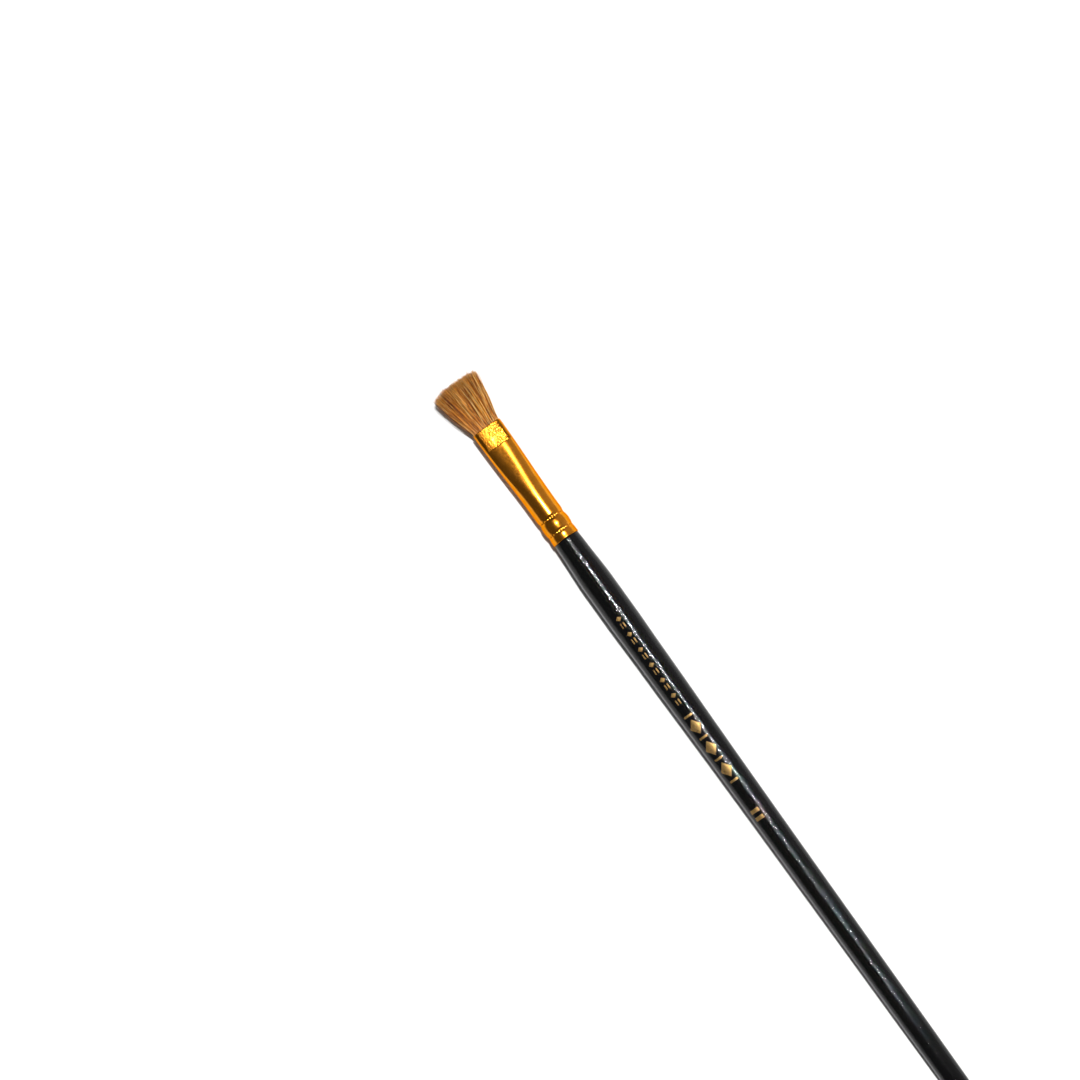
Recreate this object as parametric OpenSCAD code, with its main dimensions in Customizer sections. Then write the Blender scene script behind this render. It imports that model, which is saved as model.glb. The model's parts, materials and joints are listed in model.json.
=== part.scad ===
// Long-handled hair brush, lying at rest. Units are millimetres.
// The ferrule is round at the handle end and pressed to an oval at the mouth.
// Inside the modules u runs along the brush: 0 at the ferrule mouth, positive toward the hair tips.
// lay() turns that into the shared frame: +X toward the hair tips, Y across the oval, +Z up.
// The table is at Z = 0.

/* [Ferrule] */
// Length of the ferrule tube from mouth to rear rim
ferrule_l = 40; // [37:0.5:44]
// Outside diameter of the round part of the ferrule
ferrule_d = 8.4; // [8.2:0.1:8.8]
// Wall thickness of the ferrule
ferrule_wall = 0.35; // [0.3:0.01:0.38]
// Outside width of the oval mouth
mouth_w = 9.4; // [9.2:0.1:9.8]
// Outside thickness of the oval mouth before the jaw marks
mouth_t = 5.6; // [5.4:0.1:5.8]
// Depth of each flat jaw mark at the mouth
jaw_depth = 0.25; // [0.15:0.01:0.3]
// Length of the jaw marks along the ferrule
jaw_l = 6.7; // [5:0.1:8]
// Depth of the crimped grooves
crimp_depth = 0.22; // [0.1:0.01:0.25]
// Swell of the ring between the crimped grooves
crimp_swell = 0.14; // [0.05:0.01:0.2]

/* [Hair] */
// Free length of the tuft on its centre line
hair_out = 16; // [14:0.5:20]
// How much shorter the tuft is at its two sides
hair_arc = 1.2; // [0.4:0.1:2]
// Width of the tuft at its tip
tuft_w = 14.5; // [12:0.1:16]
// Thickness of the tuft beyond the mouth
tuft_t = 5.8; // [5:0.1:6.4]
// Length of the bound hair inside the ferrule
root_l = 18; // [17:0.5:19]
// Diameter of the binding thread
thread_d = 0.28; // [0.2:0.01:0.3]

/* [Handle] */
// Length of the handle behind the ferrule
handle_l = 240; // [225:1:250]
// Diameter of the handle's cylindrical belly
belly_d = 9.3; // [9:0.02:9.8]
// Diameter of the handle where it meets the ferrule
neck_d = 8; // [7.8:0.1:8.3]
// Diameter of the handle near its butt
butt_d = 6; // [5:0.1:7]
// Length of the tenon inside the ferrule
tenon_l = 12; // [11:0.5:13]
// Thickness of the glue film around the tenon
glue_t = 0.12; // [0.08:0.01:0.16]
// Depth of the flat that keeps the brush from rolling
rest_depth = 0.15; // [0.1:0.01:0.2]

/* [Foil marks] */
// Thickness of the gold foil
foil_t = 0.05; // [0.04:0.01:0.08]
// Offset of the foil marks to the side of the top line
foil_y = 1.3; // [0.5:0.1:1.8]

/* [Hidden] */
seg = 64;
r_tube = ferrule_d / 2;
r_belly = belly_d / 2;
r_butt = butt_d / 2;
// Crimps: groove, swelled ring, groove, rolled rear lip
groove_a = -ferrule_l + 7.3;
groove_b = -ferrule_l + 2.7;
swell_u = -ferrule_l + 5;
// The tube is round behind this position
round_u = -28;
// Where the seam of the turned surfaces lies, from the top
seam_angle = 360 / 84;
// Clearance around the ball-like base of the free tuft
knuckle_gap = 0.15;
knuckle_r = mouth_t / 2 - jaw_depth - ferrule_wall - 0.2;
knuckle_w = mouth_w / 2 - ferrule_wall - 0.2;
n_mouth = 3.5;

// ---- curves ----

function mix(a, b, t) = a + (b - a) * t;
function ease(t) = t <= 0 ? 0 : t >= 1 ? 1 : t * t * (3 - 2 * t);
function bump(x, c, w) = abs(x - c) >= w ? 0 : 0.5 + 0.5 * cos(180 * (x - c) / w);
function spow(c, e) = c < 0 ? -pow(-c, e) : pow(c, e);

// Change of the tube radius at the crimps
function crimp(u) =
    -crimp_depth * bump(u, groove_a, 1.1)
    - (crimp_depth * 0.75) * bump(u, groove_b, 1)
    + crimp_swell * bump(u, swell_u, 1.9)
    + 0.08 * bump(u, -ferrule_l, 1.1);
function tube_r(u) = r_tube + crimp(u);

// Half width, half thickness, squareness and jaw limit of the ferrule's outside at u
function open_t(u) = ease((u - round_u) / -round_u);
function half_w(u) = mix(tube_r(u), mouth_w / 2, open_t(u));
function half_t(u) = mix(tube_r(u), mouth_t / 2, ease((u - round_u) / (-round_u - 3)));
function squareness(u) = mix(2, n_mouth, ease((u - round_u) / (-round_u - 6)));
function jaw(u) = mix(10, mouth_t / 2 - jaw_depth, ease((u + jaw_l + 0.3) / 0.3));

function oval(u, a, b, n, lim) = [
    for (k = [0 : seg - 1])
        let (c = cos(360 * k / seg), s = sin(360 * k / seg))
        [u, a * spow(c, 2 / n), max(-lim, min(lim, b * spow(s, 2 / n)))]
];
// Ring of the ferrule at u, pulled in by d all round
function ferrule_ring(u, d) =
    oval(u, half_w(u) - d, half_t(u) - d, squareness(u), jaw(u) - d);

// Radius of the handle at s behind the ferrule: a smooth curve through a few turned diameters
turned = [
    [0, neck_d / 2], [6, mix(neck_d / 2, r_belly, 0.38)], [16, r_belly], [28, r_belly],
    [40, r_belly * 0.96], [52, r_belly * 0.936], [80, r_belly * 0.86], [126, r_belly * 0.79],
    [180, mix(r_belly, r_butt, 0.76)], [handle_l - 8, r_butt]
];
function slope_at(i) =
    i == 0 ? (turned[1][1] - turned[0][1]) / (turned[1][0] - turned[0][0]) * 1.5
    : i == len(turned) - 1 ? (turned[i][1] - turned[i - 1][1]) / (turned[i][0] - turned[i - 1][0])
    : i == 2 || i == 3 ? 0
    : (turned[i + 1][1] - turned[i - 1][1]) / (turned[i + 1][0] - turned[i - 1][0]);
function span_at(s, i = 0) = i >= len(turned) - 2 || s <= turned[i + 1][0] ? i : span_at(s, i + 1);
function turned_r(s) =
    let (
        i = span_at(s), a = turned[i], b = turned[i + 1], h = b[0] - a[0], t = (s - a[0]) / h
    )
    a[1] * (2 * t * t * t - 3 * t * t + 1) + slope_at(i) * h * (t * t * t - 2 * t * t + t)
    + b[1] * (3 * t * t - 2 * t * t * t) + slope_at(i + 1) * h * (t * t * t - t * t);

butt_from = handle_l - 8;
// Samples of the exposed handle, as [radius, s]
body_s = concat(
    [0, 1, 2, 3.5, 5, 6.5, 8, 9.5, 11, 12.5, 14, 16, 28], [for (s = [31 : 3 : 106]) s],
    [112, 118, 124, 132, 140, 150, 160, 170, 180, 190],
    [for (s = [200 : 8 : butt_from - 4]) s], [butt_from]
);
body_pts = [for (s = body_s) [turned_r(s), s]];
// The butt is a blunt dome
dome_q = [10, 20, 30, 40, 50, 60, 70, 80, 86];
dome_pts = [for (q = dome_q) [r_butt * pow(cos(q), 0.9), butt_from + 8 * sin(q)]];
// Tenon, following the crimps of the ferrule
tenon_pts = concat(
    [[0, -tenon_l], [r_tube - ferrule_wall - glue_t - 0.8, -tenon_l]],
    [for (s = [-tenon_l + 0.8 : 0.4 : -0.1]) [tube_r(-ferrule_l - s) - ferrule_wall - glue_t, s]],
    [[tube_r(-ferrule_l) - ferrule_wall - glue_t, 0.02]]
);

// ---- resting pose ----

// The brush lies on its belly and on its tapered end, which makes the axis lean by rest_tilt.
// It sinks by rest_depth, and the flat is what the table cuts off.
low = concat(body_pts, dome_pts);
rest_tilt = atan(min([
    for (b = low) if (b[1] > 120)
        max([for (a = body_pts) if (a[1] < 100) (a[0] - b[0]) / (b[1] - a[1])])
]));
axis_z = max([for (p = low) p[0] * cos(rest_tilt) + (ferrule_l + p[1]) * sin(rest_tilt)]) - rest_depth;
mid_x = (handle_l + ferrule_l - hair_out) / 2;

module lay() {
    translate([mid_x, 0, axis_z])
        rotate([0, -rest_tilt, 0])
            children();
}

// The space below the table, seen from the brush's own axes
module below_table() {
    rotate([0, rest_tilt, 0])
        translate([-mid_x, 0, -axis_z])
            translate([-handle_l, -belly_d, -belly_d])
                cube([2 * handle_l, 2 * belly_d, belly_d]);
}

// ---- building blocks ----

// Skins a list of equal rings. A closed skin joins the last ring to the first.
module skin(rings, closed = false) {
    m = len(rings);
    n = len(rings[0]);
    sides = [
        for (i = [0 : (closed ? m - 1 : m - 2)])
            for (k = [0 : n - 1])
                let (
                    a = i * n + k, b = i * n + (k + 1) % n,
                    c = ((i + 1) % m) * n + (k + 1) % n, d = ((i + 1) % m) * n + k
                )
                each [[c, b, a], [d, c, a]]
    ];
    // The end rings are mirrored about Y, so each cap is a row of four-cornered strips
    caps = closed ? [] : [
        for (e = [0, 1])
            for (k = [0 : n / 2 - 1])
                let (
                    o = e == 0 ? 0 : (m - 1) * n,
                    p = o + k, q = o + k + 1, r = o + (n - k - 1) % n, s = o + (n - k) % n,
                    strip = k == 0 ? [p, q, r] : k == n / 2 - 1 ? [p, q, s] : [p, q, r, s]
                )
                e == 0 ? strip : [for (i = [len(strip) - 1 : -1 : 0]) strip[i]]
    ];
    polyhedron([for (r = rings) for (p = r) p], concat(sides, caps), convexity = 6);
}

// Turns a profile of [radius, s] round the axis. s is counted back from the ferrule's rear rim.
module turn(profile) {
    translate([-ferrule_l, 0, 0])
        rotate([0, -90, 0])
            rotate([0, 0, seam_angle])
                rotate_extrude($fn = 96)
                    polygon(profile);
}

// Body of revolution about Y with the outline of half an oval
module knuckle(w, r) {
    half = [
        for (q = [-90 : 7.5 : 90])
            [r * pow(max(cos(q), 0), 2 / n_mouth), w * spow(sin(q), 2 / n_mouth)]
    ];
    rotate([-90, 0, 0])
        rotate_extrude($fn = 96)
            polygon(half);
}

// ---- parts ----

// One turned piece, with a narrow flat along its lowest line
module handle() {
    color([0.02, 0.02, 0.022])
        difference() {
            turn(concat(tenon_pts, body_pts, dome_pts));
            below_table();
        }
}

ferrule_u = concat(
    [-ferrule_l, -ferrule_l + 0.4],
    [for (u = [-ferrule_l + 0.9 : 0.45 : -ferrule_l + 9]) u],
    [-29, -26, -23, -20, -17, -14.5, -12, -9.5, -jaw_l - 0.9, -jaw_l - 0.32, -jaw_l, -4.5, -2, 0]
);

module ferrule() {
    outer = [for (u = ferrule_u) ferrule_ring(u, 0)];
    inner = [for (i = [len(ferrule_u) - 1 : -1 : 0]) ferrule_ring(ferrule_u[i], ferrule_wall)];
    color([0.83, 0.6, 0.2])
        skin(concat(outer, inner), true);
}

// Half thickness and half width of the free tuft at u
function tuft_b(u) = u <= 1.25 ? knuckle_r - 0.25
    : mix(knuckle_r - 0.25, tuft_t / 2, 1 - exp(-(u - 1.25) / 1.8));
function tuft_a(u) = mix(knuckle_w - 0.1, tuft_w / 2, pow(u / hair_out, 1.12));
tuft_u = [0, 0.6, 1.2, 1.6, 2.2, 3, 4, 5.5, 7, 9, 11, 13, hair_out - 1.2, hair_out];

module hair_tuft() {
    rings = [
        for (u = tuft_u)
            [for (p = oval(u, tuft_a(u), tuft_b(u), mix(n_mouth, 2.4, u / hair_out), 10))
                [p[0] - hair_arc * pow(p[1] / (tuft_w / 2), 2) * ease(u / hair_out), p[1], p[2]]]
    ];
    color([0.62, 0.33, 0.1]) {
        skin(rings);
        knuckle(knuckle_w, knuckle_r);
    }
}

// The roots follow the inside of the ferrule, with a waist for the thread
waist_a = -15.6;
waist_b = -12.9;
function root_gap(u) = u > waist_a && u < waist_b ? 0.48 : 0.03;
roots_u = [
    -root_l, -17, waist_a - 0.1, waist_a + 0.1, -14.8, -14, waist_b - 0.1, waist_b + 0.1,
    -11, -9.5, -jaw_l - 0.9, -jaw_l - 0.32, -jaw_l, -4.5, -2.4, -0.9
];

module hair_roots() {
    color([0.45, 0.23, 0.07])
        difference() {
            skin([for (u = roots_u) ferrule_ring(u, ferrule_wall + root_gap(u))]);
            knuckle(mouth_w / 2, knuckle_r + knuckle_gap);
        }
}

thread_turns = 7;
thread_steps = 40;

module binding_thread() {
    pitch = 0.34;
    count = thread_turns * thread_steps;
    rings = [
        for (i = [0 : count])
            let (
                a = 360 * i / thread_steps,
                u = (waist_a + waist_b) / 2 + pitch * (i / thread_steps - thread_turns / 2),
                d = ferrule_wall + 0.28, n = squareness(u),
                y = (half_w(u) - d) * spow(cos(a), 2 / n), z = (half_t(u) - d) * spow(sin(a), 2 / n),
                l = norm([y, z])
            )
            [for (q = [0 : 45 : 315])
                let (out = thread_d / 2 * cos(q))
                [u - thread_d / 2 * sin(q), y + out * y / l, z + out * z / l]]
    ];
    color([0.85, 0.82, 0.74])
        skin(rings);
}

module resin_plug() {
    color([0.72, 0.5, 0.2, 0.8])
        skin([for (u = [-24, -23, -21.5, -20, -root_l - 0.05]) ferrule_ring(u, ferrule_wall + 0.03)]);
}

module ferrule_cement() {
    s_list = [for (s = [-tenon_l + 1 : 0.4 : -0.3]) s];
    outer = [for (s = s_list) [tube_r(-ferrule_l - s) - ferrule_wall - 0.012, s]];
    film = glue_t - 0.004;
    inner = [
        for (i = [len(s_list) - 1 : -1 : 0])
            [tube_r(-ferrule_l - s_list[i]) - ferrule_wall - film, s_list[i]]
    ];
    color([0.8, 0.72, 0.5])
        turn(concat(outer, inner));
}

// Foil on the handle's skin between two samples of the handle, cut to the marks drawn by its children
module foil(from, to) {
    skin_pts = [for (p = body_pts) if (p[1] >= from && p[1] <= to) p];
    lifted = [for (i = [len(skin_pts) - 1 : -1 : 0]) [skin_pts[i][0] + foil_t, skin_pts[i][1]]];
    color([0.86, 0.64, 0.24])
        intersection() {
            turn(concat(skin_pts, lifted));
            translate([-ferrule_l, foil_y, 1])
                linear_extrude(6)
                    mirror([1, 0])
                        children();
        }
}

module lozenge(x, y, l, h) {
    translate([x, y])
        polygon([[-l / 2, 0], [0, -h / 2], [l / 2, 0], [0, h / 2]]);
}

module bar(x, y, l, h) {
    translate([x - l / 2, y - h / 2])
        square([l, h]);
}

// A row of small lozenges and bars
module foil_line() {
    foil(16, 62)
        for (i = [0 : 5]) {
            lozenge(28 + i * 5.4, 0, 1.6, 1.9);
            bar(30.3 + i * 5.4, 0.45, 1.7, 0.4);
            bar(30.3 + i * 5.4, -0.45, 1.7, 0.4);
        }
}

// Three bold lozenges with side bars
module foil_emblem() {
    foil(58, 90) {
        for (i = [0 : 2])
            lozenge(66 + i * 7.5, 0, 5, 3.6);
        for (i = [0 : 3])
            bar(62.25 + i * 7.5, 0, 0.7, 2.6);
    }
}

// Two short upright blocks
module foil_size() {
    foil(90, 102) {
        bar(95.3, 0.3, 1.2, 2.6);
        bar(97.7, 0.3, 1.2, 2.6);
    }
}

lay() handle();
lay() ferrule();
lay() hair_tuft();
lay() hair_roots();
lay() binding_thread();
lay() resin_plug();
lay() ferrule_cement();
lay() foil_line();
lay() foil_emblem();
lay() foil_size();
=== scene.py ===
import json
import math

import bpy
import numpy as np
from mathutils import Matrix, Vector, noise


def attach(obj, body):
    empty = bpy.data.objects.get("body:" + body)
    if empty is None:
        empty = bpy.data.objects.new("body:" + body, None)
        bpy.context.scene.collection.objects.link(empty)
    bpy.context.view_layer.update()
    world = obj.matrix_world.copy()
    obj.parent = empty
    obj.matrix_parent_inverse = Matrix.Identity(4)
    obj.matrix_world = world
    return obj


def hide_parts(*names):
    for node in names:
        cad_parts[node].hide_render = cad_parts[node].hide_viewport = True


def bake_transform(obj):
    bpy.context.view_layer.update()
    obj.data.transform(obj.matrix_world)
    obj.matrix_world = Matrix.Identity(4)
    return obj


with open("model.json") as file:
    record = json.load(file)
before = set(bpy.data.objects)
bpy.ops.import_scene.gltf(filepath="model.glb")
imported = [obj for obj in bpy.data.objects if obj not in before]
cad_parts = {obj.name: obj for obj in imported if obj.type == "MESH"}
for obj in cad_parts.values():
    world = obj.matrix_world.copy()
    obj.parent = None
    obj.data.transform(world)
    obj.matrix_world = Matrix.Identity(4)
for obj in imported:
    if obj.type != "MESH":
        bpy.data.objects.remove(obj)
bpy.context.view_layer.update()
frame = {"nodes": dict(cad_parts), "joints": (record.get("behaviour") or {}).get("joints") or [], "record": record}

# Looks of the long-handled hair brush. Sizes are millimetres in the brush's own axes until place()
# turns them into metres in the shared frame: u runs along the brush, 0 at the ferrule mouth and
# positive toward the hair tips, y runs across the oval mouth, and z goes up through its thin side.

MM = 0.001
SEED = 16

# ---- the brush's axes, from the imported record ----

hinge = frame["joints"][0]
grip = frame["record"]["mounts"][0]
MOUTH = np.array(hinge["pos_m"])
ALONG = -np.array(grip["axis"]) / np.linalg.norm(grip["axis"])
ACROSS = np.array([0.0, 1.0, 0.0])
UP = np.cross(ALONG, ACROSS)


def place(points):
    """Points in brush millimetres as metres in the shared frame."""
    return MOUTH + MM * (np.asarray(points, float).reshape(-1, 3) @ np.array([ALONG, ACROSS, UP]))


# ---- sizes, the same as the CAD design's apart from the mouth's two kinds of shoulder ----

FERRULE_L = 40.0
R_TUBE = 4.2
WALL = 0.35
MOUTH_W = 9.4
MOUTH_T = 5.6
JAW_DEPTH = 0.25
JAW_L = 6.7
CRIMP_DEPTH = 0.22
CRIMP_SWELL = 0.14
GROOVE_A = -FERRULE_L + 7.3
GROOVE_A_W = 1.1
GROOVE_B = -FERRULE_L + 2.7
GROOVE_B_W = 1.0
GROOVE_B_SHARE = 0.75
SWELL_U = -FERRULE_L + 5.0
SWELL_W = 1.9
REAR_FLARE = 0.08
ROUND_U = -28.0
THIN_U = -3.0
SQUARE_U = -6.0
N_MOUTH_BLUNT = 3.3
N_MOUTH_ROUND = 2.35
SHOULDER_BLEND = 0.9

HANDLE_L = 240.0
BUTT_L = 8.0
R_NECK = 4.0
R_BELLY = 4.65
R_BUTT = 3.0
BUTT_FROM = HANDLE_L - BUTT_L
TENON_L = 12.0
GLUE_T = 0.12

HAIR_OUT = 16.0
TUFT_T = 5.8

FOIL_Y = 1.3

# ---- curves ----


def mix(a, b, t):
    return a + (b - a) * t


def ease(t):
    t = np.clip(t, 0.0, 1.0)
    return t * t * (3.0 - 2.0 * t)


def bump(x, centre, width):
    """A smooth hill of height 1, zero beyond width from its centre."""
    near = np.abs(x - centre) < width
    return np.where(near, 0.5 + 0.5 * np.cos(np.pi * (x - centre) / width), 0.0)


def spow(c, e):
    return np.sign(c) * np.abs(c) ** e


def ripple(points, scale, seed=0.0):
    """Smooth noise in -1..1 at points, with one feature about every 1 / scale millimetres."""
    shift = Vector((seed * 17.3, seed * 5.1, seed * 9.7))
    return np.array([noise.noise(Vector(p) * scale + shift) for p in points])


# ---- ferrule form ----


def crimp(u):
    """How far the crimps move the tube's skin outward."""
    deep = CRIMP_DEPTH * bump(u, GROOVE_A, GROOVE_A_W)
    shallow = GROOVE_B_SHARE * CRIMP_DEPTH * bump(u, GROOVE_B, GROOVE_B_W)
    flare = REAR_FLARE * bump(u, -FERRULE_L, GROOVE_A_W)
    return CRIMP_SWELL * bump(u, SWELL_U, SWELL_W) + flare - (deep + shallow)


def half_w(u):
    return mix(R_TUBE + crimp(u), MOUTH_W / 2, ease((u - ROUND_U) / -ROUND_U))


def half_t(u):
    return mix(R_TUBE + crimp(u), MOUTH_T / 2, ease((u - ROUND_U) / (THIN_U - ROUND_U)))


def squareness(u, angle):
    """The pressed oval is blunt on its left shoulder and rounder on its right, and so from below."""
    left = ease(0.5 + SHOULDER_BLEND * np.cos(angle) * np.sign(np.sin(angle)))
    at_mouth = mix(N_MOUTH_ROUND, N_MOUTH_BLUNT, left)
    return mix(2.0, at_mouth, ease((u - ROUND_U) / (SQUARE_U - ROUND_U)))


# The pressed jaw face is a slightly rounded flat
JAW_CENTRE_Y = 1.5
JAW_ROUND_R = 24.0
JAW_CROWN = 0.05
JAW_TOP = MOUTH_T / 2 - JAW_DEPTH + JAW_CROWN
JAW_EDGE = 0.2
# Taller than any half thickness, so it leaves the tube as it is
NO_LIMIT = 10.0
# The oval part sits a little skew on the round part, and less so at the mouth
OVAL_ROLL = math.radians(5.0)
ROLL_LENGTH = 17.0
MOUTH_ROLL = 0.4
UNROLL_U = -9.0
UNROLL_LENGTH = 5.0


def jaw_height(y):
    return JAW_TOP - (y - JAW_CENTRE_Y) ** 2 / (2 * JAW_ROUND_R)


def ferrule_skin(u, angle, inset):
    """Points of the ferrule at u, pulled in by inset. All three are arrays of one shape."""
    n = squareness(u, angle)
    y = (half_w(u) - inset) * spow(np.cos(angle), 2 / n)
    z = (half_t(u) - inset) * spow(np.sin(angle), 2 / n)
    press = ease((u + JAW_L + JAW_EDGE) / JAW_EDGE)
    limit = mix(NO_LIMIT, jaw_height(y * np.sign(z)) - inset, press)
    z = np.sign(z) * np.minimum(np.abs(z), limit)
    share = mix(1.0, MOUTH_ROLL, ease((u - UNROLL_U) / UNROLL_LENGTH))
    roll = OVAL_ROLL * ease((u - ROUND_U) / ROLL_LENGTH) * share
    across, up = y * np.cos(roll) + z * np.sin(roll), z * np.cos(roll) - y * np.sin(roll)
    return np.stack([u, across, up], axis=-1)


TEETH = 28
TOOTH_DEPTH = 0.19
LINE_DEPTH = 0.12
LINE_A_W = 0.32
LINE_B_W = 0.3
DENT_DEPTH = 0.016
CRACKLE_DEPTH = 0.03
# The crackle, and the painted shade on the jaw face, fade from full to this share across it
CRACKLE_FAINT = 0.3
CRACKLE_FADE_Y = 1.4
CRACKLE_FADE_W = 1.8

# Spacing of the ferrule's rings: fine over the crimped stretch and the jaw face
CRIMPED_L = 9.0
CRIMP_STEP = 0.1
PLAIN_STEP = 0.34
JAW_STEP = 0.12
RIM = 0.12
LIP = 0.1


def ferrule_stations():
    """Positions along the outside of the ferrule, close together where the detail is fine."""
    rear = np.arange(-FERRULE_L + RIM, -FERRULE_L + CRIMPED_L, CRIMP_STEP)
    middle = np.arange(-FERRULE_L + CRIMPED_L + CRIMP_STEP, -JAW_L - 0.6, PLAIN_STEP)
    front = np.arange(-JAW_L - 0.55, -LIP, JAW_STEP)
    return np.concatenate([rear, middle, front])


def ferrule_points(segments):
    """The ferrule's closed skin as rings: outside from rear to mouth, then back along the inside."""
    outside = ferrule_stations()
    inside_jaw = np.linspace(-RIM, -JAW_L - 0.5, 14)
    inside = np.concatenate([inside_jaw, np.linspace(-8.5, -FERRULE_L + RIM, 40)])
    u = np.concatenate([outside, [-0.02, -0.02], inside, [-FERRULE_L, -FERRULE_L]])
    inset = np.concatenate([
        np.zeros(len(outside)), [LIP, WALL - LIP],
        np.full(len(inside), WALL), [WALL - LIP, LIP],
    ])
    angle = np.linspace(0, 2 * np.pi, segments, endpoint=False)
    uu, aa = np.meshgrid(u, angle, indexing="ij")
    inset = inset[:, None] * np.ones_like(aa)
    return uu, aa, inset, ferrule_skin(uu, aa, inset)


def ferrule_detail(uu, aa, points):
    """Crimp-wheel teeth, soft handling dents and the crackle of the jaw faces, along the radius.

    Also returns how scuffed each point is, 0 away from the jaw faces and up to 1 on them. The same value raises
    the roughness there and darkens the colour there, the darkening being painted shade."""
    radial = points.copy()
    radial[..., 0] = 0.0
    radial /= np.linalg.norm(radial, axis=-1, keepdims=True)
    flat = points.reshape(-1, 3)
    line = bump(uu, GROOVE_A, LINE_A_W) + 0.9 * bump(uu, GROOVE_B, LINE_B_W)
    teeth = (0.5 - 0.5 * np.cos(TEETH * aa)) * line
    dents = ripple(flat * [0.55, 1.0, 1.0], 0.33, 1.0) + 0.45 * ripple(flat, 0.9, 2.0)
    jaw = ease((uu + JAW_L) / JAW_EDGE) * (np.abs(points[..., 2]) > 0.6 * JAW_TOP)
    side = mix(CRACKLE_FAINT, 1.0, ease((CRACKLE_FADE_Y - points[..., 1]) / CRACKLE_FADE_W))
    crackle = np.abs(ripple(flat * [0.8, 1.0, 1.0], 1.1, 3.0)) + 0.5 * np.abs(ripple(flat, 2.3, 4.0))
    move = TOOTH_DEPTH * teeth - LINE_DEPTH * line + DENT_DEPTH * dents.reshape(uu.shape) * (1 - jaw)
    move = move + CRACKLE_DEPTH * crackle.reshape(uu.shape) * jaw * side
    return points + radial * move[..., None], jaw * side


# ---- handle form ----

# Turned radii as (distance behind the ferrule, radius)
TURNED = [
    (0.0, R_NECK), (6.0, mix(R_NECK, R_BELLY, 0.38)), (16.0, R_BELLY), (28.0, R_BELLY),
    (40.0, R_BELLY * 0.96), (52.0, R_BELLY * 0.936), (80.0, R_BELLY * 0.86),
    (126.0, R_BELLY * 0.79), (180.0, mix(R_BELLY, R_BUTT, 0.76)), (BUTT_FROM, R_BUTT),
]
FLAT_POINTS = (2, 3)


def turned_slopes():
    slopes = []
    last = len(TURNED) - 1
    for i in range(len(TURNED)):
        before, after = TURNED[max(i - 1, 0)], TURNED[min(i + 1, last)]
        slope = (after[1] - before[1]) / (after[0] - before[0])
        if i == 0:
            slope *= 1.5
        slopes.append(0.0 if i in FLAT_POINTS else slope)
    return slopes


SLOPES = turned_slopes()


def turned_r(s):
    """Radius of the exposed handle at s, a smooth curve through the turned radii."""
    i = 0
    while i < len(TURNED) - 2 and s > TURNED[i + 1][0]:
        i += 1
    (s0, r0), (s1, r1) = TURNED[i], TURNED[i + 1]
    h = s1 - s0
    t = (s - s0) / h
    cubic, square = t ** 3, t ** 2
    r = r0 * (2 * cubic - 3 * square + 1) + SLOPES[i] * h * (cubic - 2 * square + t)
    return r + r1 * (3 * square - 2 * cubic) + SLOPES[i + 1] * h * (cubic - square)


def handle_profile():
    """(s, r) pairs from the tenon's end to the butt."""
    fit = WALL + GLUE_T
    stations = np.arange(-TENON_L + 0.8, -0.1, 0.4)
    tenon = [(s, float(R_TUBE + crimp(-FERRULE_L - s)) - fit) for s in stations]
    front = [(-TENON_L, 0.6), (-TENON_L, tenon[0][1] - 0.8)] + tenon
    shoulder = [(0.0, R_NECK - 0.16), (0.04, R_NECK - 0.05), (0.15, turned_r(0.15))]
    neck = [(s, turned_r(s)) for s in np.arange(0.5, 16.0, 0.5)]
    body = [(s, turned_r(s)) for s in np.arange(17.0, BUTT_FROM, 1.5)]
    dome = [
        (BUTT_FROM + BUTT_L * math.sin(math.radians(q)), R_BUTT * math.cos(math.radians(q)) ** 0.9)
        for q in range(0, 89, 4)
    ]
    return front + shoulder + neck + body + dome


# ---- meshes ----


def loft_faces(rings, segments, closed):
    """Quads of a stack of rings; closed joins the last ring to the first."""
    i = np.arange(rings if closed else rings - 1)[:, None]
    k = np.arange(segments)[None, :]
    nxt, right = (i + 1) % rings, (k + 1) % segments
    corners = [i * segments + k, i * segments + right, nxt * segments + right, nxt * segments + k]
    return np.stack([np.broadcast_to(c, (len(i), segments)) for c in corners], -1).reshape(-1, 4)


def volume_sign(points, faces):
    a, b, c = (points[faces[:, j]] for j in (0, 1, 2))
    d = points[faces[:, -1]]
    both = np.einsum("ij,ij->i", a, np.cross(b, c)) + np.einsum("ij,ij->i", a, np.cross(c, d))
    return 1 if both.sum() > 0 else -1


def make_mesh(name, points, faces, extra=()):
    """A smooth mesh object from brush millimetres. extra holds faces of other sizes, such as caps."""
    if volume_sign(points, faces) < 0:
        faces = faces[:, ::-1]
        extra = [tuple(reversed(f)) for f in extra]
    mesh = bpy.data.meshes.new(name)
    mesh.from_pydata(place(points).tolist(), [], faces.tolist() + [list(f) for f in extra])
    mesh.shade_smooth()
    piece = bpy.data.objects.new(name, mesh)
    bpy.context.scene.collection.objects.link(piece)
    return piece


def add_attribute(piece, name, values):
    layer = piece.data.attributes.new(name, "FLOAT", "POINT")
    layer.data.foreach_set("value", np.asarray(values, np.float32).ravel())


# ---- node helpers ----


def new_material(name):
    """A material with only a Principled shader and its output. Returns (material, tree, shader)."""
    material = bpy.data.materials.new(name)
    material.use_nodes = True
    tree = material.node_tree
    return material, tree, tree.nodes["Principled BSDF"]


def add(tree, kind, inputs=None, **props):
    """Adds a node. inputs maps a socket's name or number to a value or to another node's output."""
    made = tree.nodes.new(kind)
    for name, value in props.items():
        setattr(made, name, value)
    for key, value in (inputs or {}).items():
        if isinstance(value, bpy.types.NodeSocket):
            tree.links.new(value, made.inputs[key])
        else:
            made.inputs[key].default_value = value
    return made


def link(tree, output, shader, socket):
    tree.links.new(output, shader.inputs[socket])


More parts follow.
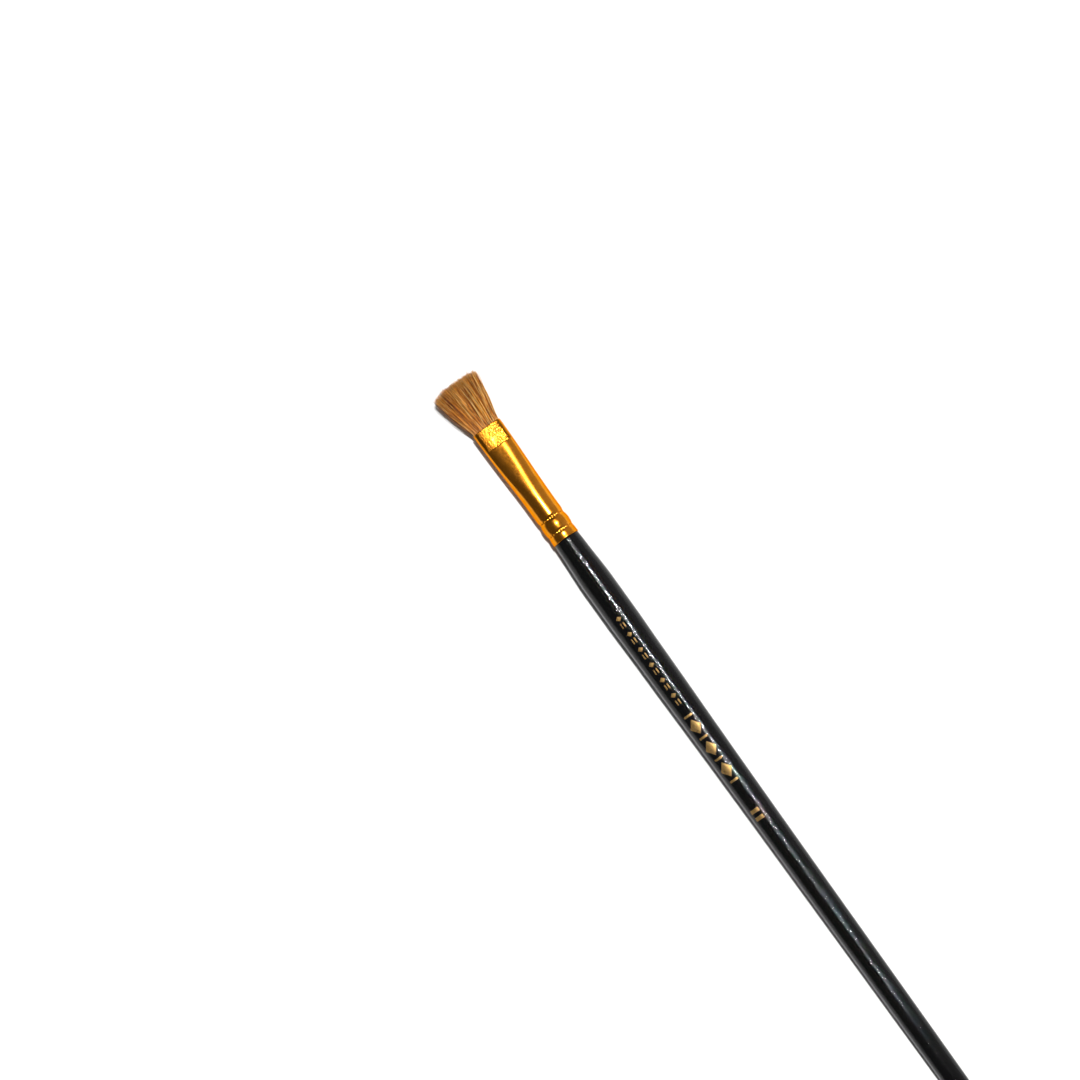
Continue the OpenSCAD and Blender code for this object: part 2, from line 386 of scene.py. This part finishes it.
def coordinates(tree, stretch=(1.0, 1.0, 1.0)):
    """Object coordinates in millimetres, with each axis multiplied by stretch."""
    where = add(tree, "ShaderNodeTexCoord")
    scale = tuple(1000.0 * s for s in stretch)
    return add(tree, "ShaderNodeMapping", {"Vector": where.outputs["Object"], "Scale": scale}).outputs[0]


def noise_of(tree, vector, scale, detail=3.0, rough=0.55):
    inputs = {"Vector": vector, "Scale": scale, "Detail": detail, "Roughness": rough}
    return add(tree, "ShaderNodeTexNoise", inputs).outputs["Fac"]


def remap(tree, value, low, high, to_low, to_high):
    made = add(tree, "ShaderNodeMapRange", {0: value, 1: low, 2: high, 3: to_low, 4: to_high})
    return made.outputs[0]


def ramp(tree, value, stops):
    """A colour ramp through (position, (r, g, b)) stops."""
    made = add(tree, "ShaderNodeValToRGB", {"Fac": value})
    elements = made.color_ramp.elements
    while len(elements) < len(stops):
        elements.new(0.5)
    for element, (position, colour) in zip(elements, stops):
        element.position = position
        element.color = (*colour, 1.0)
    return made.outputs["Color"]


def mix_colours(tree, share, a, b):
    """Colour a, with share of it replaced by colour b."""
    made = add(tree, "ShaderNodeMix", {"Factor": share, "A": a, "B": (*b, 1.0)}, data_type="RGBA")
    return made.outputs["Result"]


def math_node(tree, operation, a, b):
    return add(tree, "ShaderNodeMath", {0: a, 1: b}, operation=operation).outputs[0]


def bump_node(tree, height, strength, distance_mm, before=None):
    inputs = {"Height": height, "Strength": strength, "Distance": distance_mm * MM}
    if before is not None:
        inputs["Normal"] = before
    return add(tree, "ShaderNodeBump", inputs).outputs[0]


# ---- materials ----


def gold_metal():
    material, tree, shader = new_material("gold_ferrule")
    where = coordinates(tree)
    drawn = coordinates(tree, (0.12, 1.0, 1.0))
    tarnish = noise_of(tree, where, 0.45)
    colour = ramp(tree, tarnish, [(0.3, (0.72, 0.255, 0.018)), (0.7, (0.82, 0.305, 0.03))])
    jaw = add(tree, "ShaderNodeAttribute", attribute_name="jaw").outputs["Fac"]
    # Painted shade: the jaw faces' colour is darkened towards dark brown, most on their -Y side, so they reflect
    # the light less brightly.
    painted_shade_on_jaw = math_node(tree, "MULTIPLY", jaw, 0.62)
    link(tree, mix_colours(tree, painted_shade_on_jaw, colour, (0.06, 0.022, 0.002)), shader, "Base Color")
    shader.inputs["Metallic"].default_value = 1.0
    shader.inputs["Specular Tint"].default_value = (1.0, 0.5, 0.08, 1.0)
    rough = remap(tree, noise_of(tree, where, 1.6), 0.3, 0.7, 0.18, 0.23)
    rough = math_node(tree, "ADD", rough, math_node(tree, "MULTIPLY", jaw, 0.05))
    link(tree, rough, shader, "Roughness")
    lines = noise_of(tree, drawn, 9.0, 4.0)
    grain = noise_of(tree, where, 14.0, 2.0)
    normal = bump_node(tree, lines, 0.35, 0.004)
    normal = bump_node(tree, grain, 0.5, 0.003, normal)
    cells = {"Vector": where, "Scale": 1.2}
    scuffs = add(tree, "ShaderNodeTexVoronoi", cells, feature="DISTANCE_TO_EDGE")
    creases = remap(tree, scuffs.outputs["Distance"], 0.0, 0.25, 0.0, 1.0)
    normal = bump_node(tree, math_node(tree, "MULTIPLY", creases, jaw), 1.0, 0.034, normal)
    link(tree, normal, shader, "Normal")
    return material


def black_lacquer():
    material, tree, shader = new_material("black_lacquer")
    where = coordinates(tree)
    grain = coordinates(tree, (0.1, 1.0, 1.0))
    dust = noise_of(tree, where, 2.2)
    colour = ramp(tree, dust, [(0.3, (0.002, 0.002, 0.0022)), (0.75, (0.005, 0.005, 0.0055))])
    link(tree, colour, shader, "Base Color")
    link(tree, remap(tree, noise_of(tree, where, 1.1), 0.3, 0.7, 0.2, 0.34), shader, "Roughness")
    shader.inputs["Coat Weight"].default_value = 1.0
    shader.inputs["Coat Roughness"].default_value = 0.04
    shader.inputs["Coat IOR"].default_value = 1.33
    shader.inputs["Specular IOR Level"].default_value = 0.0
    ridges = noise_of(tree, grain, 3.4, 3.0)
    peel = noise_of(tree, where, 3.0, 3.0)
    nibs = add(tree, "ShaderNodeTexVoronoi", {"Vector": where, "Scale": 0.55, "Randomness": 1.0})
    nib = remap(tree, nibs.outputs["Distance"], 0.0, 0.09, 1.0, 0.0)
    normal = bump_node(tree, ridges, 0.8, 0.04)
    normal = bump_node(tree, peel, 0.8, 0.05, normal)
    normal = bump_node(tree, nib, 0.6, 0.05, normal)
    link(tree, normal, shader, "Coat Normal")
    link(tree, normal, shader, "Normal")
    return material


def stamped_foil():
    material, tree, shader = new_material("stamped_foil")
    where = coordinates(tree)
    worn = noise_of(tree, where, 3.0, 4.0)
    colour = ramp(tree, worn, [(0.3, (0.42, 0.25, 0.09)), (0.7, (0.66, 0.43, 0.16))])
    link(tree, colour, shader, "Base Color")
    shader.inputs["Metallic"].default_value = 1.0
    link(tree, remap(tree, noise_of(tree, where, 5.0), 0.3, 0.7, 0.38, 0.6), shader, "Roughness")
    link(tree, bump_node(tree, noise_of(tree, where, 9.0), 0.6, 0.01), shader, "Normal")
    return material


def natural_hair():
    """Golden-brown hair. The colour value differs from hair to hair at random and also holds painted light: hairs
    toward the -Y side are painted lighter, and a share are pale, partly as painted glints. along runs from root to
    tip.
    """
    material, tree, shader = new_material("natural_hair")
    tone_and_painted_light = add(tree, "ShaderNodeAttribute", attribute_name="tone_and_painted_light").outputs["Fac"]
    along = add(tree, "ShaderNodeAttribute", attribute_name="along").outputs["Fac"]
    where = coordinates(tree, (0.5, 2.0, 2.0))
    patch = remap(tree, noise_of(tree, where, 1.0), 0.3, 0.7, -0.08, 0.08)
    tone_and_painted_light = math_node(tree, "ADD", tone_and_painted_light, patch)
    body = ramp(tree, tone_and_painted_light, [
        (0.0, (0.05, 0.011, 0.001)), (0.3, (0.32, 0.088, 0.006)), (0.6, (0.64, 0.212, 0.016)),
        (0.85, (0.9, 0.38, 0.04)), (1.0, (1.0, 0.68, 0.22)),
    ])
    pale = remap(tree, along, 0.9, 1.0, 0.0, 0.25)
    link(tree, mix_colours(tree, pale, body, (0.86, 0.52, 0.22)), shader, "Base Color")
    link(tree, remap(tree, noise_of(tree, where, 3.0), 0.3, 0.7, 0.28, 0.45), shader, "Roughness")
    shader.inputs["Specular IOR Level"].default_value = 0.18
    scales = noise_of(tree, coordinates(tree), 16.0, 2.0)
    link(tree, bump_node(tree, scales, 0.4, 0.01), shader, "Normal")
    return material


def plain_detail(name, low, high, scale, rough_low, rough_high, bump_mm, stretch=(1.0, 1.0, 1.0)):
    """Material of a hidden inner part: mottled colour, uneven gloss and a fine bump."""
    material, tree, shader = new_material(name)
    where = coordinates(tree, stretch)
    link(tree, ramp(tree, noise_of(tree, where, scale), [(0.3, low), (0.7, high)]), shader, "Base Color")
    rough = remap(tree, noise_of(tree, where, scale * 2), 0.3, 0.7, rough_low, rough_high)
    link(tree, rough, shader, "Roughness")
    link(tree, bump_node(tree, noise_of(tree, where, scale * 3), 0.6, bump_mm), shader, "Normal")
    return material


def floor_paper():
    material, tree, shader = new_material("floor_paper")
    where = coordinates(tree, (0.05, 0.05, 0.05))
    colour = ramp(tree, noise_of(tree, where, 1.0), [(0.3, (0.87, 0.87, 0.87)), (0.7, (0.9, 0.9, 0.9))])
    link(tree, colour, shader, "Base Color")
    link(tree, remap(tree, noise_of(tree, where, 3.0), 0.3, 0.7, 0.75, 0.9), shader, "Roughness")
    shader.inputs["Specular IOR Level"].default_value = 0.1
    return material


# ---- pieces ----

FERRULE_SEGMENTS = 304
HANDLE_SEGMENTS = 128
# Unevenness of the lacquered wood, as a share of its radius
HANDLE_WAVE = 0.0018


def make_ferrule():
    uu, aa, inset, points = ferrule_points(FERRULE_SEGMENTS)
    points, jaw = ferrule_detail(uu, aa, points)
    plain = ferrule_skin(uu, aa, inset)
    outer = (inset < 0.5 * WALL)[..., None]
    points = np.where(outer, points, plain)
    faces = loft_faces(len(uu), FERRULE_SEGMENTS, True)
    piece = make_mesh("ferrule_shell", points.reshape(-1, 3), faces)
    add_attribute(piece, "jaw", jaw)
    piece.data.materials.append(gold_metal())
    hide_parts("ferrule")
    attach(piece, "brush")


def make_handle():
    profile = np.array(handle_profile())
    angle = np.linspace(0, 2 * np.pi, HANDLE_SEGMENTS, endpoint=False)
    s, aa = np.meshgrid(profile[:, 0], angle, indexing="ij")
    r = profile[:, 1][:, None] * np.ones_like(aa)
    points = np.stack([-FERRULE_L - s, r * np.cos(aa), r * np.sin(aa)], -1)
    wave = ripple(points.reshape(-1, 3) * [0.25, 1.0, 1.0], 0.5, 5.0).reshape(s.shape)
    swell = 1 + HANDLE_WAVE * wave * (s > 1.0)
    points[..., 1:] *= swell[..., None]
    table = -(MOUTH[2] / MM + points[..., 0] * ALONG[2]) / UP[2]
    points[..., 2] = np.maximum(points[..., 2], table)
    faces = loft_faces(len(profile), HANDLE_SEGMENTS, False)
    last = (len(profile) - 1) * HANDLE_SEGMENTS
    caps = [list(range(HANDLE_SEGMENTS))[::-1], [last + k for k in range(HANDLE_SEGMENTS)]]
    piece = make_mesh("handle_lacquered", points.reshape(-1, 3), faces, caps)
    piece.data.materials.append(black_lacquer())
    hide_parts("handle")
    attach(piece, "brush")


# ---- foil marks ----

# Places along the handle, from the ferrule's rear rim
LINE_FROM = 28.0
LINE_BARS_FROM = 30.3
LINE_PITCH = 5.4
LINE_GROUPS = 6
EMBLEM_FROM = 66.0
EMBLEM_BARS_FROM = 62.25
EMBLEM_PITCH = 7.5
EMBLEM_LOZENGES = 3
SIZE_BARS = (95.3, 97.7)
SIZE_OFFSET = 0.3
FOIL_CELL = 0.08
FOIL_LIFT = 0.012
FOIL_SKIN = 0.02

def lozenge(s, y, centre, length, height):
    """Positive inside a lozenge, about the distance to its edge in millimetres."""
    return (1 - np.abs(s - centre) / (length / 2) - np.abs(y) / (height / 2)) * min(length, height) / 2.8


def bar(s, y, centre, offset, length, height):
    return np.minimum(length / 2 - np.abs(s - centre), height / 2 - np.abs(y - offset))


def line_marks(s, y):
    marks = []
    for i in range(LINE_GROUPS):
        marks.append(lozenge(s, y, LINE_FROM + i * LINE_PITCH, 1.6, 1.9))
        centre = LINE_BARS_FROM + i * LINE_PITCH
        marks += [bar(s, y, centre, side * 0.45, 1.7, 0.4) for side in (-1, 1)]
    return np.max(marks, axis=0)


def emblem_marks(s, y):
    lozenges = range(EMBLEM_LOZENGES)
    marks = [lozenge(s, y, EMBLEM_FROM + i * EMBLEM_PITCH, 5.0, 3.6) for i in lozenges]
    bars = range(EMBLEM_LOZENGES + 1)
    marks += [bar(s, y, EMBLEM_BARS_FROM + i * EMBLEM_PITCH, 0.0, 0.7, 2.6) for i in bars]
    return np.max(marks, axis=0)


def size_marks(s, y):
    return np.max([bar(s, y, centre, SIZE_OFFSET, 1.2, 2.6) for centre in SIZE_BARS], axis=0)


def keep_inside(corners):
    """Cuts a polygon of (s, y, value) corners to the part whose value is above zero."""
    kept = []
    for a, b in zip(corners, corners[1:] + corners[:1]):
        if a[2] > 0:
            kept.append(a)
        if (a[2] > 0) != (b[2] > 0):
            t = a[2] / (a[2] - b[2])
            kept.append(tuple(mix(p, q, t) for p, q in zip(a, b)))
    return kept


def foil_outline(marks, s_range, half_height):
    """Polygons of (s, y) that tile the marks, with worn edges and pinholes."""
    s_line = np.arange(s_range[0], s_range[1] + FOIL_CELL, FOIL_CELL)
    y_line = np.arange(-half_height, half_height + FOIL_CELL, FOIL_CELL)
    s, y = np.meshgrid(s_line, y_line, indexing="ij")
    flat = np.stack([s.ravel(), y.ravel(), np.zeros(s.size)], -1)
    wear = 0.035 + 0.05 * ripple(flat, 2.4, 6.0) + 0.03 * ripple(flat, 6.0, 7.0)
    holes = 0.5 * (ripple(flat, 2.9, 8.0) - 0.52)
    value = marks(s, y) - wear.reshape(s.shape)
    value = np.minimum(value, -holes.reshape(s.shape))
    polygons = []
    for i in range(len(s_line) - 1):
        for j in range(len(y_line) - 1):
            cell_corners = [(i, j), (i + 1, j), (i + 1, j + 1), (i, j + 1)]
            if max(value[c] for c in cell_corners) <= 0:
                continue
            polygon = keep_inside([(s[c], y[c], value[c]) for c in cell_corners])
            if len(polygon) > 2:
                polygons.append([p[:2] for p in polygon])
    return polygons


def make_foil(name, node, marks, s_range, half_height, material):
    index, points, faces = {}, [], []
    for polygon in foil_outline(marks, s_range, half_height):
        face = []
        for s, y in polygon:
            key = (round(s, 4), round(y, 4))
            if key not in index:
                index[key] = len(points)
                across = y + FOIL_Y
                rise = math.sqrt(turned_r(s) ** 2 - across ** 2)
                points.append((-FERRULE_L - s, across, rise + FOIL_LIFT))
            if index[key] not in face:
                face.append(index[key])
        if len(face) > 2:
            faces.append(face)
    mesh = bpy.data.meshes.new(name)
    mesh.from_pydata(place(points).tolist(), [], faces)
    mesh.shade_smooth()
    piece = bpy.data.objects.new(name, mesh)
    bpy.context.scene.collection.objects.link(piece)
    solid = piece.modifiers.new("thickness", "SOLIDIFY")
    solid.thickness = FOIL_SKIN * MM
    solid.offset = -1.0
    piece.data.materials.append(material)
    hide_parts(node)
    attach(piece, "brush")


def make_foils():
    """The three foils, each with its marks, its stretch along the handle and its half height."""
    foil = stamped_foil()
    make_foil("foil_line_worn", "foil_line", line_marks, (26.8, 58.6), 1.1, foil)
    make_foil("foil_emblem_worn", "foil_emblem", emblem_marks, (61.6, 86.0), 1.9, foil)
    make_foil("foil_size_worn", "foil_size", size_marks, (94.4, 98.6), 1.8, foil)


# ---- hair ----

HAIRS = 4000
CLUMPS = 900
STRAYS = 700
HAIR_R = 0.062
HAIR_POINTS = 9
HAIR_SIDES = 4
HAIR_PIECES = 3
# The tip's share of the root's radius
HAIR_TAPER = 0.42
ROOT_U = -2.2
ROOT_W = MOUTH_W / 2 - WALL - 0.04
ROOT_T = MOUTH_T / 2 - JAW_DEPTH - WALL - 0.12
TIP_W = 7.5
TIP_T = TUFT_T / 2 - 0.1
TIP_SHIFT = 0.55
# Spread of clumps and hairs about an even fan, as (across the mouth, through its thin side)
CLUMP_SPREAD = (0.3, 0.25)
HAIR_SPREAD = (0.42, 0.2)
STRAY_SPREAD = (0.8, 0.4)
# Unevenness of the blunt end: by clump, by hair, and in shallow notches
CLUMP_CUT = 0.22
HAIR_CUT = 0.26
NOTCH_DEPTH = 0.3
TIP_CROWN = 0.017
# Sideways bow of single hairs between root and tip
BOW = (0.2, 0.1)
# Tones: their middle, and how far clumps and hairs differ from it
MIDDLE_TONE = 0.46
CLUMP_TONE = 0.07
HAIR_TONE = 0.36
# A share of hairs is much paler: pale hairs, and painted glints among them.
BRIGHT_SHARE = 0.12
BRIGHT_TONE = 0.4


def oval_points(rng, count, power):
    """count points evenly spread in a unit superellipse."""
    made = np.empty((0, 2))
    while len(made) < count:
        tried = rng.uniform(-1, 1, (count, 2))
        made = np.concatenate([made, tried[(np.abs(tried) ** power).sum(1) < 1]])
    return made[:count]


def tip_line(y):
    """Where the blunt end of the tuft lies at y: highest near the middle."""
    return HAIR_OUT + 0.15 - TIP_CROWN * y * y


def tuft_paths(rng):
    """Centre lines of all hairs, shape (hairs, points, 3), with each hair's colour value, painted light included.
    """
    spot = oval_points(rng, HAIRS, 3.0)
    centres = oval_points(rng, CLUMPS, 3.0)
    reach = np.array([TIP_W, TIP_T])
    gap = ((spot[:, None, :] - centres[None, :, :]) * reach) ** 2
    clump = gap.sum(-1).argmin(1)
    clump_shift = rng.normal(0, 1, (CLUMPS, 2)) * CLUMP_SPREAD
    clump_cut = rng.normal(0, CLUMP_CUT, CLUMPS)
    clump_tone = rng.normal(0, CLUMP_TONE, CLUMPS)
    pull = rng.uniform(0.1, 0.8, CLUMPS)[clump][:, None]
    tip = mix(spot, centres[clump], pull) * reach + clump_shift[clump]
    tip = tip + rng.normal(0, 1, (HAIRS, 2)) * HAIR_SPREAD
    stray = rng.permutation(HAIRS)[:STRAYS]
    tip[stray] += rng.normal(0, 1, (STRAYS, 2)) * STRAY_SPREAD
    tip[:, 0] += TIP_SHIFT
    root = spot * [ROOT_W, ROOT_T]
    spots = np.stack([tip[:, 0], 0.4 * tip[:, 1], 0 * tip[:, 0]], -1)
    notch = NOTCH_DEPTH * ripple(spots, 0.9, 9.0)
    length = tip_line(tip[:, 0]) + clump_cut[clump] + notch + rng.normal(0, HAIR_CUT, HAIRS)
    length -= 0.5 * spot[:, 1] ** 2 + rng.exponential(0.3, HAIRS)
    length[stray] += rng.uniform(-2.5, 0.6, STRAYS)
    t = np.linspace(0, 1, HAIR_POINTS)[None, :]
    u = ROOT_U + t * (length - ROOT_U)[:, None]
    grow = np.clip(u / HAIR_OUT, 0, None) ** np.array(0.98)
    y = mix(root[:, :1], tip[:, :1], grow)
    z = mix(root[:, 1:], tip[:, 1:], ease(u / 13.0))
    bow = np.sin(np.pi * np.clip(t, 0, 1)) * np.clip(u / 6.0, 0, 1)
    y = y + bow * rng.normal(0, BOW[0], (HAIRS, 1))
    z = z + bow * rng.normal(0, BOW[1], (HAIRS, 1))
    # Painted light: hairs are made a little lighter toward the -Y side, where the light comes from.
    tone_and_painted_light = MIDDLE_TONE + clump_tone[clump] + rng.normal(0, HAIR_TONE, HAIRS) - 0.006 * tip[:, 0]
    # The paler share stands for pale hairs and for painted glints.
    bright = rng.random(HAIRS) < BRIGHT_SHARE
    tone_and_painted_light = np.where(bright, tone_and_painted_light + BRIGHT_TONE, tone_and_painted_light)
    return np.stack([u, y, z], -1), np.clip(tone_and_painted_light, 0.03, 1.0)


def hair_mesh(name, paths, tone_and_painted_light, material):
    """Thin closed tubes along the paths, tapering to the tip."""
    count, steps, _ = paths.shape
    angle = np.arange(HAIR_SIDES) * 2 * np.pi / HAIR_SIDES
    around = np.stack([np.zeros(HAIR_SIDES), np.cos(angle), np.sin(angle)], -1)
    t = np.linspace(0, 1, steps)
    radius = HAIR_R * mix(1.0, HAIR_TAPER, ease((t - 0.5) / 0.5))
    points = paths[:, :, None, :] + radius[None, :, None, None] * around[None, None, :, :]
    one = loft_faces(steps, HAIR_SIDES, False)
    size = steps * HAIR_SIDES
    caps = np.array([list(range(HAIR_SIDES))[::-1], [size - HAIR_SIDES + k for k in range(HAIR_SIDES)]])
    one = np.concatenate([one, caps])
    faces = (one[None, :, :] + (np.arange(count) * size)[:, None, None]).reshape(-1, 4)
    piece = make_mesh(name, points.reshape(-1, 3), faces)
    add_attribute(piece, "tone_and_painted_light", np.repeat(tone_and_painted_light, size))
    add_attribute(piece, "along", np.tile(np.repeat(t, HAIR_SIDES), count))
    piece.data.materials.append(material)
    return piece


def make_tuft():
    rng = np.random.default_rng(SEED)
    paths, tone_and_painted_light = tuft_paths(rng)
    material = natural_hair()
    for i in range(HAIR_PIECES):
        piece = hair_mesh(f"tuft_hair_{i + 1}", paths[i::HAIR_PIECES], tone_and_painted_light[i::HAIR_PIECES], material)
        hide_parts("hair_tuft")
        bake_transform(piece)


# ---- hidden parts, floor, light and camera ----


def finish_hidden_parts():
    """The CAD nodes inside the ferrule stay as they are and get their own materials."""
    hidden = {
        "hair_roots": plain_detail(
            "bound_hair", (0.16, 0.06, 0.012), (0.42, 0.19, 0.05), 2.4, 0.4, 0.6, 0.05, (0.08, 1.0, 1.0)),
        "binding_thread": plain_detail(
            "waxed_thread", (0.58, 0.54, 0.44), (0.78, 0.75, 0.66), 4.0, 0.5, 0.7, 0.03),
        "resin_plug": plain_detail(
            "set_resin", (0.42, 0.24, 0.06), (0.60, 0.38, 0.12), 0.8, 0.12, 0.25, 0.02),
        "ferrule_cement": plain_detail(
            "glue_film", (0.62, 0.54, 0.34), (0.76, 0.68, 0.48), 1.2, 0.3, 0.5, 0.02),
    }
    for name, material in hidden.items():
        node = frame["nodes"][name]
        for slot in node.material_slots:
            slot.material = material


FLOOR_HALF = 3.0


def make_floor():
    mesh = bpy.data.meshes.new("floor")
    corners = [(FLOOR_HALF * x, FLOOR_HALF * y, 0) for x, y in ((-1, -1), (1, -1), (1, 1), (-1, 1))]
    mesh.from_pydata(corners, [], [(0, 1, 2, 3)])
    floor = bpy.data.objects.new("floor", mesh)
    bpy.context.scene.collection.objects.link(floor)
    floor.data.materials.append(floor_paper())


SUN_TILT_ALONG = 5.0
SUN_TILT_ACROSS = 10.0
SUN_POWER = 3.3
SUN_ANGLE = 1.4
# The room: even and dim on one side, brighter low on the -Y side, with a soft overhead panel
ROOM_DIM = 0.10
ROOM_SIDE = 0.39
PANEL_AT = (0.145, -0.19)
PANEL_HALF = (0.11, 0.22)
PANEL_GLOW = 5.5


def aim(obj, place_at, target):
    """Puts obj at a point and turns its -Z axis to the target."""
    obj.location = place_at
    obj.rotation_mode = "QUATERNION"
    obj.rotation_quaternion = (Vector(target) - Vector(place_at)).to_track_quat("-Z", "Y")


def make_light(name, kind, energy, place_at, target):
    data = bpy.data.lights.new(name, kind)
    data.energy = energy
    light = bpy.data.objects.new(name, data)
    bpy.context.scene.collection.objects.link(light)
    aim(light, place_at, target)
    return data


def make_lights():
    x = math.tan(math.radians(SUN_TILT_ALONG))
    y = -math.tan(math.radians(SUN_TILT_ACROSS))
    sun = make_light("key_sun", "SUN", SUN_POWER, (x, y, 1.0), (0, 0, 0))
    sun.angle = math.radians(SUN_ANGLE)


def make_room():
    """Soft light from all round, brighter from the -Y side, with the overhead panel in it."""
    world = bpy.data.worlds.new("studio")
    world.use_nodes = True
    tree = world.node_tree
    direction = add(tree, "ShaderNodeTexCoord").outputs["Generated"]
    parts = add(tree, "ShaderNodeSeparateXYZ", {"Vector": direction}).outputs
    side = remap(tree, parts["Y"], -0.95, -0.25, ROOM_SIDE, 0.0)
    spread = []
    for axis, centre, half in zip("XY", PANEL_AT, PANEL_HALF):
        away = math_node(tree, "SUBTRACT", parts[axis], centre)
        away = math_node(tree, "DIVIDE", away, half)
        spread.append(math_node(tree, "MULTIPLY", away, away))
    panel = remap(tree, math_node(tree, "ADD", *spread), 0.0, 1.6, PANEL_GLOW, 0.0)
    strength = math_node(tree, "ADD", math_node(tree, "ADD", panel, side), ROOM_DIM)
    background = tree.nodes["Background"]
    background.inputs["Color"].default_value = (1.0, 0.99, 0.975, 1.0)
    tree.links.new(strength, background.inputs["Strength"])
    bpy.context.scene.world = world


# The camera looks down from a little behind the ferrule. The picture's up direction is turned
# from the brush's axis.
CAMERA_DISTANCE = 0.95
CAMERA_TILT = 6.0
CAMERA_TURN = 35.5
FRAME_WIDTH = 0.3130
AIM_U = -35.8
AIM_Y = 6.4
SENSOR = 36.0


def make_camera():
    target = Vector(place([(AIM_U, AIM_Y, 0.0)])[0])
    tilt, turn = math.radians(CAMERA_TILT), math.radians(CAMERA_TURN)
    toward = Vector((-math.sin(tilt), 0.0, math.cos(tilt)))
    up = Vector((math.cos(turn), -math.sin(turn), 0.0))
    right = up.cross(toward).normalized()
    up = toward.cross(right)
    data = bpy.data.cameras.new("camera")
    data.sensor_width = SENSOR
    data.lens = SENSOR * CAMERA_DISTANCE / FRAME_WIDTH
    data.clip_start, data.clip_end = 0.05, 20.0
    camera = bpy.data.objects.new("camera", data)
    bpy.context.scene.collection.objects.link(camera)
    turned = Matrix((right, up, toward)).transposed().to_4x4()
    camera.matrix_world = Matrix.Translation(target + toward * CAMERA_DISTANCE) @ turned
    bpy.context.scene.camera = camera


make_camera()
make_lights()
make_room()
make_floor()
make_ferrule()
make_handle()
make_foils()
make_tuft()
finish_hidden_parts()
bpy.context.scene.view_settings.view_transform = "Standard"
